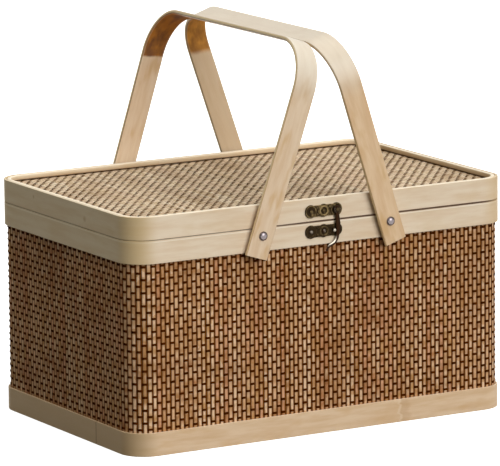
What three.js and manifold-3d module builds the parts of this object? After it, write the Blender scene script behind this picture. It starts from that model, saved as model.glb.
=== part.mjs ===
// A lidded picnic basket: a rounded box of sewn bamboo slats held between bent laths,
// with a hinged lid, a hook latch and two bent handles. Millimetres, +Z up, front towards -Y.
// The origin is on the ground under the middle of the box.

import * as THREE from 'three';
import { mergeVertices } from 'three/addons/utils/BufferGeometryUtils.js';
import Module from 'manifold-3d';

const wasm = await Module();
wasm.setup();

// The box, over its laths
const boxLength = 330;
const boxDepth = 217;
const boxHeight = 180.5;
const cornerRadius = 21;

// Laths, mat and the gaps between their layers
const bandThickness = 2;
const innerBandThickness = 2.1;
const baseBandThickness = 1.6;
const matThickness = 1.4;
const layerGap = 0.25;
const baseBandHeight = 17.8;
const rimBandHeight = 17.5;
const lidBandHeight = 17.2;
const seamGap = 0.6;
const wallFootGap = 0.6;

// Bottom board
const boardThickness = 4;
const boardFootGap = 2;

// Lid panel, sunk below the top of its lath, with a ring above it and one below
const panelSink = 4.5;
const liningThickness = 1.5;
const panelGap = 0.3;
const upperRingThickness = 3.4;
const lowerRingThickness = 3.6;

// Handles: their pivots from the middle of the front and below the seam, and the lath itself
const pivotX = 55.6;
const pivotDrop = 5.1;
const handleWidth = 18.8;
const handleThickness = 3;
const handleStandoff = 2.4;
const handleHeight = 145;
const handleBend = 32.5;
const handleSpread = 0.024;
const handleTail = 17.2;
const handleMeetGap = 0.5;

// Rivets of the handles, with their washers outside and inside the box
const rivetRadius = 1.5;
const rivetHeadRadius = 3.5;
const rivetHeadHeight = 1.7;
const rivetTailRadius = 2.6;
const rivetTailHeight = 1.2;
const rivetTailTaper = 0.8;
const spacerRadius = 5;
const burrRadius = 4.5;
const burrThickness = 0.8;
const holeClearance = 0.3;
const faceGap = 0.3;

// Latch: three-lobed plates above and below the seam, a hook on the upper and a stud on the lower
const plateThickness = 0.9;
const plateLobeRadius = 5;
const plateWaist = 8;
const latchX = 10.8;
const lobeSpacing = 11.1;
const upperPlateRise = 8;
const lowerPlateDrop = 7.5;
const studLeft = 2.9;
const hookThickness = 1.3;
const hookWidth = 2.5;
const hookEyeRadius = 2.9;
const hookBow = 0.8;
const hookTailLeft = 9.7;
const hookTailDrop = 15.5;
const hookTailTaper = 0.35;
const hookTaperStart = 0.7;
const hookSteps = 22;
const pivotPinRadius = 1.2;
const pivotPinClearance = 0.15;
const pivotHeadRadius = 2.1;
const pivotHeadHeight = 0.9;
const studRadius = 1.4;
const studHeight = 2.6;
const studShankRadius = 0.9;

// Small nails of the latch and the hinges
const nailRadius = 0.8;
const nailHeadRadius = 1.7;
const nailHeadHeight = 0.7;
const nailSeat = 0.15;

// Hinges: two narrow butt hinges between the rear ends of the handles
const hingeX = 19;
const hingeWidth = 24;
const leafHeight = 13;
const leafThickness = 0.9;
const leafTabOverlap = 1;
const knuckleRadius = 1.9;
const knuckleGap = 0.3;
const hingePinRadius = 0.9;
const hingePinClearance = 0.12;
const hingePinOverhang = 0.6;
const hingeNailSpread = 7;
const hingeNailRise = 8.6;

// Fineness of curves; a drawn arc gets two sides for each of its steps
const cornerSteps = 5;
const bendSteps = 9;
const lobeSteps = 6;
const roundSides = 16;
const nailSides = 10;
const domeSteps = 3;

// Levels and insets that follow from the sizes above
const seamTop = boxHeight - lidBandHeight;
const rimTop = seamTop - seamGap;
const rimFoot = rimTop - rimBandHeight;
const seamLevel = rimTop + seamGap / 2;
const matInset = bandThickness + layerGap;
const innerInset = matInset + matThickness + layerGap;
const baseInset = matInset - layerGap - baseBandThickness;
const boardInset = innerInset + innerBandThickness + layerGap;
const panelTop = boxHeight - panelSink;
const liningTop = panelTop - matThickness - panelGap;
const lowerRingTop = liningTop - liningThickness - panelGap;
const faceY = boxDepth / 2;
const pivotZ = seamLevel - pivotDrop;
const legInside = faceY + handleStandoff;
const legOutside = legInside + handleThickness;
const rivetHole = rivetRadius + holeClearance;
const upperPlateZ = seamLevel + upperPlateRise;
const lowerPlateZ = seamLevel - lowerPlateDrop;
const plateFace = faceY + faceGap + plateThickness;
const hookFace = plateFace + faceGap + hookThickness;
const pinHole = pivotPinRadius + pivotPinClearance;
const studHole = studShankRadius + holeClearance;
const nailHole = nailRadius + holeClearance;
const hingeAxisY = faceY + faceGap + knuckleRadius;
const leafFace = faceY + faceGap + leafThickness;

const bandFinish = { color: 0xd9c39c, roughness: 0.55, metalness: 0 };
const innerBandFinish = { color: 0xc9ae80, roughness: 0.6, metalness: 0 };
const handleFinish = { color: 0xd6ba8c, roughness: 0.5, metalness: 0 };
const matFinish = { color: 0xa97f52, roughness: 0.75, metalness: 0 };
const lidMatFinish = { color: 0xc9a57a, roughness: 0.7, metalness: 0 };
const boardFinish = { color: 0xcdb28a, roughness: 0.7, metalness: 0 };
const bronzeFinish = { color: 0x4a3a22, roughness: 0.45, metalness: 0.9 };
const steelFinish = { color: 0xb8b8b4, roughness: 0.3, metalness: 0.9 };

const basket = new THREE.Group();

function addPiece(name, geometry, finish, place = {}) {
  const mesh = new THREE.Mesh(geometry, new THREE.MeshStandardMaterial(finish));
  mesh.name = name;
  mesh.position.set(place.x ?? 0, place.y ?? 0, place.z ?? 0);
  mesh.rotation.set(0, place.lean ?? 0, place.turn ?? 0);
  basket.add(mesh);
}

function toSolid(geometry) {
  const bare = geometry.clone();
  bare.deleteAttribute('normal');
  bare.deleteAttribute('uv');
  const merged = mergeVertices(bare, 1e-4);
  return new wasm.Manifold(new wasm.Mesh({
    numProp: 3,
    vertProperties: merged.attributes.position.array,
    triVerts: Uint32Array.from(merged.index.array),
  }));
}

function toGeometry(solid) {
  const mesh = solid.getMesh();
  const geometry = new THREE.BufferGeometry();
  geometry.setAttribute('position', new THREE.BufferAttribute(mesh.vertProperties, 3));
  geometry.setIndex(new THREE.BufferAttribute(mesh.triVerts, 1));
  geometry.computeVertexNormals();
  return geometry;
}

// The first geometries joined, then the others cut away
function carve(joined, cutters) {
  let solid = toSolid(joined[0]);
  for (const geometry of joined.slice(1)) {
    solid = solid.add(toSolid(geometry));
  }
  for (const cutter of cutters) {
    solid = solid.subtract(toSolid(cutter));
  }
  return toGeometry(solid);
}

// A rounded rectangle, inset from the outside of the box
function boxOutline(path, inset) {
  const r = cornerRadius - inset;
  const x = boxLength / 2 - cornerRadius;
  const y = boxDepth / 2 - cornerRadius;
  path.absarc(x, y, r, 0, Math.PI / 2);
  path.absarc(-x, y, r, Math.PI / 2, Math.PI);
  path.absarc(-x, -y, r, Math.PI, Math.PI * 1.5);
  path.absarc(x, -y, r, Math.PI * 1.5, Math.PI * 2);
  return path;
}

function extrude(shape, height, steps) {
  return new THREE.ExtrudeGeometry(shape, { depth: height, bevelEnabled: false, curveSegments: steps });
}

// A lath or mat bent round the box
function hoop(inset, thickness, foot, top) {
  const shape = boxOutline(new THREE.Shape(), inset);
  shape.holes.push(boxOutline(new THREE.Path(), inset + thickness));
  return extrude(shape, top - foot, cornerSteps).translate(0, 0, foot);
}

function sheet(inset, foot, top) {
  return extrude(boxOutline(new THREE.Shape(), inset), top - foot, cornerSteps).translate(0, 0, foot);
}

function circle(path, x, y, radius) {
  return path.absarc(x, y, radius, 0, Math.PI * 2);
}

function barAlongY(radius, from, to, x, z) {
  const bar = new THREE.CylinderGeometry(radius, radius, to - from, roundSides);
  return bar.translate(x, (from + to) / 2, z);
}

function barAlongX(radius, from, to, y, z) {
  const bar = new THREE.CylinderGeometry(radius, radius, to - from, roundSides);
  return bar.rotateZ(Math.PI / 2).translate((from + to) / 2, y, z);
}

// Lays a shape drawn in X and height flat on a face that looks along -Y, thickness outwards
function faceOn(geometry, face) {
  return geometry.rotateX(Math.PI / 2).translate(0, -face, 0);
}

// A turned pin along Y. Its domed head looks along -Y and starts at headBase from the middle,
// and its shank runs in to shankEnd, where it may have a wider clinched tail.
function headedPin({ headRadius, headSide = 0, dome, headBase, shankRadius, shankEnd, tail, steps }) {
  const profile = [];
  for (let i = 0; i <= domeSteps; i += 1) {
    const angle = (i / domeSteps) * (Math.PI / 2);
    profile.push([headRadius * Math.sin(angle), -headBase - headSide - dome * Math.cos(angle)]);
  }
  if (headSide > 0) {
    profile.push([headRadius, -headBase]);
  }
  profile.push([shankRadius, -headBase], [shankRadius, -shankEnd]);
  if (tail) {
    profile.push([tail.radius, -shankEnd], [tail.radius * rivetTailTaper, tail.height - shankEnd]);
    profile.push([0, tail.height - shankEnd]);
  } else {
    profile.push([0, -shankEnd]);
  }
  return new THREE.LatheGeometry(profile.map(([r, y]) => new THREE.Vector2(r, y)), steps);
}

// Front and rear differ by half a turn about the middle of the box
const sides = [
  { name: 'front', turn: 0 },
  { name: 'rear', turn: Math.PI },
];
const ends = [
  { name: 'left', sign: -1 },
  { name: 'right', sign: 1 },
];

// Holes through the walls, as bars at [x, z]
function wallBars(radius, places, side, depth) {
  const [from, to] = side === 'front' ? [-faceY - 1, depth - faceY] : [faceY - depth, faceY + 1];
  return places.map(([x, z]) => barAlongY(radius, from, to, x, z));
}

const rivetPlaces = ends.map((end) => [end.sign * pivotX, pivotZ]);
const rivetBars = [
  ...wallBars(rivetHole, rivetPlaces, 'front', boardInset),
  ...wallBars(rivetHole, rivetPlaces, 'rear', boardInset),
];
const lobes = [latchX - 2 * lobeSpacing, latchX - lobeSpacing, latchX];
const upperNails = lobes.slice(0, 2).map((x) => [x, upperPlateZ]);
const lowerNails = lobes.slice(0, 2).map((x) => [x, lowerPlateZ]);
const studPlace = [latchX - studLeft, lowerPlateZ];
const hingeCentres = ends.map((end) => end.sign * hingeX);

function hingeNails(rise) {
  return hingeCentres.flatMap((x) => [-1, 1].map((way) => [x + way * hingeNailSpread, seamLevel + rise]));
}

function addBox() {
  addPiece('base_outer_hoop', hoop(baseInset, baseBandThickness, 0, baseBandHeight), bandFinish);
  addPiece('base_inner_hoop', hoop(innerInset, innerBandThickness, 0, baseBandHeight), innerBandFinish);
  addPiece('base_board', sheet(boardInset, boardFootGap, boardFootGap + boardThickness), boardFinish);
  addPiece('wall_weave', carve([hoop(matInset, matThickness, wallFootGap, rimTop)], rivetBars), matFinish);
  addPiece('rim_outer_hoop', carve([hoop(0, bandThickness, rimFoot, rimTop)], [
    ...rivetBars,
    ...wallBars(nailHole, lowerNails, 'front', matInset),
    ...wallBars(studHole, [studPlace], 'front', matInset),
    ...wallBars(nailHole, hingeNails(-hingeNailRise), 'rear', matInset),
  ]), bandFinish);
  const innerRim = hoop(innerInset, innerBandThickness, rimFoot, rimTop);
  addPiece('rim_inner_hoop', carve([innerRim], rivetBars), innerBandFinish);
}

function addLid() {
  addPiece('lid_outer_hoop', carve([hoop(0, bandThickness, seamTop, boxHeight)], [
    ...wallBars(nailHole, upperNails, 'front', matInset),
    ...wallBars(pinHole, [[latchX, upperPlateZ]], 'front', matInset),
    ...wallBars(nailHole, hingeNails(hingeNailRise), 'rear', matInset),
  ]), bandFinish);
  const upperRing = hoop(matInset, upperRingThickness, panelTop + panelGap, boxHeight);
  addPiece('lid_upper_ring', upperRing, innerBandFinish);
  addPiece('lid_weave', sheet(matInset, panelTop - matThickness, panelTop), lidMatFinish);
  addPiece('lid_lining', sheet(matInset, liningTop - liningThickness, liningTop), boardFinish);
  addPiece('lid_lower_ring', hoop(matInset, lowerRingThickness, seamTop, lowerRingTop), innerBandFinish);
}

// The handles lean inwards until their top edges almost meet over the middle
const meetReach = Math.hypot(handleHeight + handleThickness, handleWidth / 2);
const handleLean = Math.asin((pivotX - handleMeetGap / 2) / meetReach)
  - Math.atan2(handleWidth / 2, handleHeight + handleThickness);

// The lath seen from its end, from the pivots up: legs that spread a little, two bends and a run
function handleOutline() {
  const slope = Math.atan(handleSpread);
  const outerBend = handleBend + handleThickness;
  const bendZ = handleHeight - handleBend;
  const bendY = legInside - (handleBend - bendZ * Math.sin(slope)) / Math.cos(slope);
  const legAt = (face, z) => face + z * handleSpread;
  const shape = new THREE.Shape();
  shape.moveTo(legAt(legOutside, -handleTail), -handleTail);
  shape.absarc(bendY, bendZ, outerBend, -slope, Math.PI / 2);
  shape.absarc(-bendY, bendZ, outerBend, Math.PI / 2, Math.PI + slope);
  shape.lineTo(-legAt(legOutside, -handleTail), -handleTail);
  shape.lineTo(-legAt(legInside, -handleTail), -handleTail);
  shape.absarc(-bendY, bendZ, handleBend, Math.PI + slope, Math.PI / 2, true);
  shape.absarc(bendY, bendZ, handleBend, Math.PI / 2, -slope, true);
  shape.lineTo(legAt(legInside, -handleTail), -handleTail);
  return shape;
}

function addHandles() {
  const across = new THREE.Matrix4().makeBasis(
    new THREE.Vector3(0, 1, 0),
    new THREE.Vector3(0, 0, 1),
    new THREE.Vector3(1, 0, 0),
  );
  const lath = extrude(handleOutline(), handleWidth, bendSteps)
    .translate(0, 0, -handleWidth / 2)
    .applyMatrix4(across);
  const bar = barAlongY(rivetHole, -legOutside - 1, legOutside + 1, 0, 0);
  const handle = carve([lath], [bar]);
  for (const end of ends) {
    const place = { x: end.sign * pivotX, z: pivotZ, lean: -end.sign * handleLean };
    addPiece(`handle_${end.name}`, handle, handleFinish, place);
  }
}

function washer(outer, thickness, face) {
  const shape = circle(new THREE.Shape(), 0, 0, outer);
  shape.holes.push(circle(new THREE.Path(), 0, 0, rivetHole));
  return faceOn(extrude(shape, thickness, roundSides / 2), face);
}

function addRivets() {
  const burrFace = faceY - boardInset + layerGap - faceGap - burrThickness;
  const rivet = headedPin({
    headRadius: rivetHeadRadius,
    dome: rivetHeadHeight,
    headBase: legOutside + faceGap,
    shankRadius: rivetRadius,
    shankEnd: burrFace - faceGap,
    tail: { radius: rivetTailRadius, height: rivetTailHeight },
    steps: roundSides,
  });
  const spacer = washer(spacerRadius, handleStandoff - 2 * faceGap, faceY + faceGap);
  const burr = washer(burrRadius, burrThickness, burrFace);
  for (const side of sides) {
    for (const end of ends) {
      const place = { x: end.sign * pivotX, z: pivotZ, turn: side.turn };
      addPiece(`rivet_${side.name}_${end.name}`, rivet, steelFinish, place);
      addPiece(`spacer_${side.name}_${end.name}`, spacer, steelFinish, place);
      addPiece(`burr_${side.name}_${end.name}`, burr, steelFinish, place);
    }
  }
}

// Three round lobes joined by narrower necks, with the plate's holes
function latchPlate(holes) {
  const waistAngle = Math.asin(plateWaist / 2 / plateLobeRadius);
  const [left, middle, right] = lobes;
  const shape = new THREE.Shape();
  shape.absarc(right, 0, plateLobeRadius, waistAngle - Math.PI, Math.PI - waistAngle);
  shape.absarc(middle, 0, plateLobeRadius, waistAngle, Math.PI - waistAngle);
  shape.absarc(left, 0, plateLobeRadius, waistAngle, Math.PI * 2 - waistAngle);
  shape.absarc(middle, 0, plateLobeRadius, Math.PI + waistAngle, Math.PI * 2 - waistAngle);
  for (const [x, radius] of holes) {
    shape.holes.push(circle(new THREE.Path(), x, 0, radius));
  }
  return faceOn(extrude(shape, plateThickness, lobeSteps), faceY + faceGap);
}

// The hook's middle line below its pivot: it passes right of the stud, turns in under it and ends in a tail
function hookLine() {
  const studDrop = upperPlateZ - lowerPlateZ;
  return new THREE.CatmullRomCurve3([
    [0, 0],
    [hookBow * 0.12, -studDrop * 0.35],
    [hookBow * 0.75, -studDrop * 0.68],
    [hookBow, -studDrop * 0.94],
    [hookBow * 0.25, -studDrop - hookTailDrop * 0.2],
    [-hookTailLeft * 0.15, -studDrop - hookTailDrop * 0.42],
    [-hookTailLeft * 0.45, -studDrop - hookTailDrop * 0.61],
    [-hookTailLeft * 0.78, -studDrop - hookTailDrop * 0.76],
    [-hookTailLeft, -studDrop - hookTailDrop],
  ].map(([x, z]) => new THREE.Vector3(x, z, 0)));
}

function hookShape() {
  const line = hookLine();
  const right = [];
  const left = [];
  for (let i = 0; i <= hookSteps; i += 1) {
    const at = i / hookSteps;
    const point = line.getPointAt(at);
    const along = line.getTangentAt(at);
    const tail = Math.max(0, (at - hookTaperStart) / (1 - hookTaperStart));
    const half = (hookWidth / 2) * (1 - hookTailTaper * tail);
    right.push(new THREE.Vector2(point.x - along.y * half, point.y + along.x * half));
    left.push(new THREE.Vector2(point.x + along.y * half, point.y - along.x * half));
  }
  return new THREE.Shape([...right, ...left.reverse()]);
}

function addLatch() {
  const nailHoles = lobes.slice(0, 2).map((x) => [x, nailHole]);
  const upper = latchPlate([...nailHoles, [latchX, pinHole]]);
  const lower = latchPlate([...nailHoles, [studPlace[0], studHole]]);
  addPiece('latch_upper_plate', upper, bronzeFinish, { z: upperPlateZ });
  addPiece('latch_lower_plate', lower, bronzeFinish, { z: lowerPlateZ });
  const hookSeat = plateFace + faceGap;
  const eye = extrude(circle(new THREE.Shape(), 0, 0, hookEyeRadius), hookThickness, roundSides / 2);
  const hook = carve(
    [faceOn(extrude(hookShape(), hookThickness, 1), hookSeat), faceOn(eye, hookSeat)],
    [barAlongY(pinHole, -hookFace - 1, -hookSeat + 1, 0, 0)],
  );
  addPiece('latch_hook', hook, bronzeFinish, { x: latchX, z: upperPlateZ });
  addPiece('latch_pivot', headedPin({
    headRadius: pivotHeadRadius,
    dome: pivotHeadHeight,
    headBase: hookFace + faceGap,
    shankRadius: pivotPinRadius,
    shankEnd: faceY - bandThickness,
    steps: roundSides,
  }), bronzeFinish, { x: latchX, z: upperPlateZ });
  addPiece('latch_stud', headedPin({
    headRadius: studRadius,
    headSide: studHeight - studRadius,
    dome: studRadius,
    headBase: plateFace + nailSeat,
    shankRadius: studShankRadius,
    shankEnd: faceY - bandThickness,
    steps: roundSides,
  }), bronzeFinish, { x: studPlace[0], z: lowerPlateZ });
}

function nail(seat) {
  return headedPin({
    headRadius: nailHeadRadius,
    dome: nailHeadHeight,
    headBase: seat + nailSeat,
    shankRadius: nailRadius,
    shankEnd: faceY - bandThickness,
    steps: nailSides,
  });
}

function addNails() {
  const latchNail = nail(plateFace);
  for (const [level, places] of [['upper', upperNails], ['lower', lowerNails]]) {
    places.forEach(([x, z], i) => {
      addPiece(`latch_nail_${level}_${i + 1}`, latchNail, bronzeFinish, { x, z });
    });
  }
  const hingeNail = nail(leafFace);
  for (const [leaf, rise] of [['lid', hingeNailRise], ['box', -hingeNailRise]]) {
    hingeNails(rise).forEach(([x, z], i) => {
      addPiece(`hinge_nail_${leaf}_${i + 1}`, hingeNail, bronzeFinish, { x, z, turn: Math.PI });
    });
  }
}

// One leaf of a hinge, with its knuckles at the given thirds of the width; way is 1 up and -1 down
function hingeLeaf(centre, way, thirds) {
  const third = hingeWidth / 3;
  const knuckleLength = third - knuckleGap;
  const plateY = faceY + faceGap + leafThickness / 2;
  const plateFoot = knuckleRadius + knuckleGap;
  const plate = new THREE.BoxGeometry(hingeWidth, leafThickness, leafHeight - plateFoot);
  const parts = [plate.translate(centre, plateY, seamLevel + (way * (leafHeight + plateFoot)) / 2)];
  for (const index of thirds) {
    const x = centre + index * third;
    const tabHeight = plateFoot + leafTabOverlap;
    const tab = new THREE.BoxGeometry(knuckleLength, leafThickness, tabHeight);
    parts.push(tab.translate(x, plateY, seamLevel + (way * tabHeight) / 2));
    const half = knuckleLength / 2;
    parts.push(barAlongX(knuckleRadius, x - half, x + half, hingeAxisY, seamLevel));
  }
  const bore = barAlongX(
    hingePinRadius + hingePinClearance,
    centre - hingeWidth,
    centre + hingeWidth,
    hingeAxisY,
    seamLevel,
  );
  const nailBars = hingeNails(way * hingeNailRise)
    .map(([x, z]) => barAlongY(nailHole, faceY, leafFace + 1, x, z));
  return carve(parts, [bore, ...nailBars]);
}

function addHinges() {
  for (const end of ends) {
    const centre = end.sign * hingeX;
    const half = hingeWidth / 2 + hingePinOverhang;
    addPiece(`hinge_lid_leaf_${end.name}`, hingeLeaf(centre, 1, [0]), bronzeFinish);
    addPiece(`hinge_box_leaf_${end.name}`, hingeLeaf(centre, -1, [-1, 1]), bronzeFinish);
    const pin = barAlongX(hingePinRadius, centre - half, centre + half, hingeAxisY, seamLevel);
    addPiece(`hinge_pin_${end.name}`, pin, bronzeFinish);
  }
}

addBox();
addLid();
addHandles();
addRivets();
addLatch();
addNails();
addHinges();

export default basket;
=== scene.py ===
import random
from functools import cache, partialmethod
from math import asin, atan, atan2, copysign, cos, hypot, pi, radians, sin, sqrt
import bpy
import bmesh
from mathutils import Matrix, Vector, noise


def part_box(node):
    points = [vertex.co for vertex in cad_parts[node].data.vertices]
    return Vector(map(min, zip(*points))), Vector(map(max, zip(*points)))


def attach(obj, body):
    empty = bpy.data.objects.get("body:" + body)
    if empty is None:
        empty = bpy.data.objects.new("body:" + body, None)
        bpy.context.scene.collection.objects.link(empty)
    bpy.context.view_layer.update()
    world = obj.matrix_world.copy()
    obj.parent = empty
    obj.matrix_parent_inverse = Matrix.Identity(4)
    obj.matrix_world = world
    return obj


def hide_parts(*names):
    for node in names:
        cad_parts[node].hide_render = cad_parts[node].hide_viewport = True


# Picnic basket of sewn bamboo slats, bent laths and two handles.
# Sizes are in millimetres until a piece is finished, then it is scaled to metres.
# Only the floor's size and how far the camera sees are given in metres.
# A tuple of three is a colour as a picture shows it, from 0 to 255.

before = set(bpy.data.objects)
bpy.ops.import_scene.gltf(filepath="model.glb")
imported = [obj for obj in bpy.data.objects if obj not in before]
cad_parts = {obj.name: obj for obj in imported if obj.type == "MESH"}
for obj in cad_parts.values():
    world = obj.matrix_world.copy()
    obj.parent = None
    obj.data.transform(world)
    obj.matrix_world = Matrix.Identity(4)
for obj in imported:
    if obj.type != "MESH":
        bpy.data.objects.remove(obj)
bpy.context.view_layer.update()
mm = 0.001
tiny = 1e-4  # points nearer than this are one


def paint(red, green, blue):  # a colour made linear for the shader
    parts = [c / 255 for c in (red, green, blue)]
    return [*(c / 12.92 if c <= 0.04045 else ((c + 0.055) / 1.055) ** 2.4 for c in parts), 1.0]


def white(strength=1.0):
    return [strength, strength, strength, 1.0]


class Wire:  # a socket that can be used in sums
    def __init__(self, maker, socket):
        self.maker, self.socket = maker, socket

    def sum(self, operation, *others):
        return self.maker.add("ShaderNodeMath", dict(enumerate([self, *others])), operation=operation)

    __add__ = __radd__ = partialmethod(sum, "ADD")
    __sub__ = partialmethod(sum, "SUBTRACT")
    __mul__ = partialmethod(sum, "MULTIPLY")
    __abs__ = partialmethod(sum, "ABSOLUTE")

    def __rsub__(self, other):
        return (self * -1) + other


class NodeMaker:  # makes the nodes of a material or of the world
    def __init__(self, tree):
        self.tree = tree
        tree.nodes.clear()

    def add(self, kind, values=None, output=0, stops=(), **settings):
        node = self.tree.nodes.new(kind)
        for key, value in settings.items():
            setattr(node, key, value)
        for i, (place, colour) in enumerate(stops):
            mark = node.color_ramp.elements[i] if i < 2 else node.color_ramp.elements.new(1.0)
            mark.position, mark.color = place, paint(*colour)
        for socket, value in (values or {}).items():
            self.feed(node.inputs[socket], value)
        return Wire(self, node.outputs[output]) if node.outputs else node

    def feed(self, socket, value):
        if isinstance(value, Wire):
            self.tree.links.new(value.socket, socket)
        else:
            socket.default_value = value

    def mix(self, factor, first, second):
        first, second = (paint(*c) if isinstance(c, tuple) else c for c in (first, second))
        return self.add("ShaderNodeMix", {0: factor, 6: first, 7: second}, 2, data_type="RGBA")

    def step(self, value, low, high):  # 0 below low, 1 above high, smooth between
        return self.add("ShaderNodeMapRange", {0: value, 1: low, 2: high},
                        interpolation_type="SMOOTHSTEP")

    def near(self, value, middle, half, soft):  # 1 within half of the middle, 0 past soft more
        return 1 - self.step(abs(value - middle), half, half + soft)

    def scaled(self, vector, scale, move=(0, 0, 0)):
        return self.add("ShaderNodeMapping", {0: vector, 1: move, 3: scale})

    def split(self, vector):
        node = self.add("ShaderNodeSeparateXYZ", {0: vector}).socket.node
        return [Wire(self, node.outputs[i]) for i in range(3)]

    def join(self, x, y, z):
        return self.add("ShaderNodeCombineXYZ", {0: x, 1: y, 2: z})

    def noise(self, vector, scale=1.0, detail=3.0, rough=0.55, move=(0, 0, 0)):
        if isinstance(scale, tuple):  # a scale for each axis
            vector, scale = self.scaled(vector, scale, move), 1.0
        return self.add("ShaderNodeTexNoise", {"Vector": vector, "Scale": scale, "Detail": detail,
                                               "Roughness": rough})

    def layer(self, name, output="Vector"):
        return self.add("ShaderNodeAttribute", None, output, attribute_name=name)

    def place(self):
        return self.add("ShaderNodeTexCoord", None, "Object")

    def bump(self, height, strength, distance):
        return self.add("ShaderNodeBump", {"Height": height, "Strength": strength,
                                           "Distance": distance * mm})

    def seen(self):  # 1 where the camera, or a mirror, looks straight at this
        rays = [self.add("ShaderNodeLightPath", None, f"Is {kind} Ray")
                for kind in ("Camera", "Glossy", "Transmission")]
        return rays[0].sum("MAXIMUM", rays[1]).sum("MAXIMUM", rays[2])


class Finish(NodeMaker):
    def __init__(self, name, **constants):
        self.material = bpy.data.materials.new(name)
        self.material.use_nodes = True
        super().__init__(self.material.node_tree)
        self.surface = self.add("ShaderNodeBsdfPrincipled")
        self.shader = self.surface.socket.node
        self.output = self.add("ShaderNodeOutputMaterial", {0: self.surface})
        self.colour = None
        self.set(**constants)

    def set(self, **values):
        for socket, value in values.items():
            self.feed(self.shader.inputs[socket.replace("_", " ")], value)

    def over(self, share, tone):  # lays that share of a tone over the colour so far
        self.colour = self.mix(share, self.colour, tone)

    def done(self, height, strength, distance, **values):
        self.set(Base_Color=self.colour, Normal=self.bump(height, strength, distance), **values)
        return self.material


shell = {"length": 330.0, "depth": 217.0, "corner": 21.0, "cornerSteps": 10, "seamLevel": 163.0}
runX = shell["length"] / 2 - shell["corner"]
runY = shell["depth"] / 2 - shell["corner"]
wallSides = [(2 * runX, (runX, -runY)), (2 * runY, (runX, runY)),  # how long, and the corner it ends at
             (2 * runX, (-runX, runY)), (2 * runY, (-runX, -runY))]


@cache
def nodeBox(node):
    low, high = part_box(node)
    return low / mm, high / mm


def nodeCentre(node):
    low, high = nodeBox(node)
    return (low + high) / 2


def nodeReach(node):  # how near and how far from the middle plane a front or rear piece is
    low, high = nodeBox(node)
    return sorted((abs(low.y), abs(high.y)))


def insetOf(node):
    return shell["length"] / 2 - nodeBox(node)[1].x


def turnLength(inset):
    return 4 * (runX + runY) + 2 * pi * (shell["corner"] - inset)


def alongOutline(x, y, inset):  # how far round a point is, from the left end of the front
    radius, start = shell["corner"] - inset, 0.0
    for side, (run, corner) in enumerate(wallSides):
        turn, x0, y0 = side * pi / 2, x - corner[0], y - corner[1]
        onwards = x0 * cos(turn) + y0 * sin(turn)
        outwards = x0 * sin(turn) - y0 * cos(turn)
        if outwards > 0 and onwards >= -run:
            return start + run + (radius * atan2(onwards, outwards) if onwards > 0 else onwards)
        start += run + pi / 2 * radius


def depthIn(x, y):  # how far a point is inside the outline
    if abs(x) > runX and abs(y) > runY:
        return shell["corner"] - hypot(abs(x) - runX, abs(y) - runY)
    return min(runX - abs(x), runY - abs(y)) + shell["corner"]


def posed(place, angle, axis):
    return Matrix.Translation(place) @ Matrix.Rotation(angle, 4, axis)


def placeRound(distance, inset):  # a frame at that distance round: x onwards, y inwards, z up
    radius = shell["corner"] - inset
    distance %= turnLength(inset)
    for side, (run, corner) in enumerate(wallSides):
        turn, past = side * pi / 2, distance - run
        if past <= pi / 2 * radius or side == 3:
            angle = turn + max(0.0, past) / radius
            onwards = Vector((cos(turn), sin(turn), 0)) * min(0.0, past)
            outwards = Vector((sin(angle), -cos(angle), 0)) * radius
            return posed(Vector((*corner, 0)) + onwards + outwards, angle, "Z")
        distance = past - pi / 2 * radius


# joint is where a lath's ends meet, as a share of a turn from the left end of the front,
# and closer is how much its foot and top are moved, so that the lid's seam is a fine line
lathParts = ("name", "node", "body", "finish", "thickness", "edge", "joint", "closer")
laths = {row[0]: dict(zip(lathParts, row)) for row in (
    ("baseBand", "base_outer_hoop", "basket", "baseBand", 1.6, 0.5, 0.934, (0, 0)),
    ("baseInnerBand", "base_inner_hoop", "basket", "innerBand", 2.1, 0.4, 0.6, (0, 0)),
    ("rimBand", "rim_outer_hoop", "basket", "rimBand", 2.0, 0.35, 0.47, (0, 0.13)),
    ("rimInnerBand", "rim_inner_hoop", "basket", "innerBand", 2.1, 0.4, 0.7, (0, 0)),
    ("lidBand", "lid_outer_hoop", "lid", "lidBand", 2.0, 0.35, 0.52, (-0.13, 0)),
    ("lidUpperRing", "lid_upper_ring", "lid", "upperRing", 3.4, 0.9, 0.66, (0, 0)),
    ("lidLowerRing", "lid_lower_ring", "lid", "innerBand", 3.6, 0.4, 0.3, (0, 0)),
)}


def alongLath(spec, x, y):
    middle = insetOf(spec["node"]) + spec["thickness"] / 2
    turn = turnLength(middle)
    return (alongOutline(x, y, middle) - spec["joint"] * turn) % turn


growth = {"wave": 7.0, "ringAt": 4.5, "haloAt": 9.0}  # a growth ring of the cane, along the lath


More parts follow.
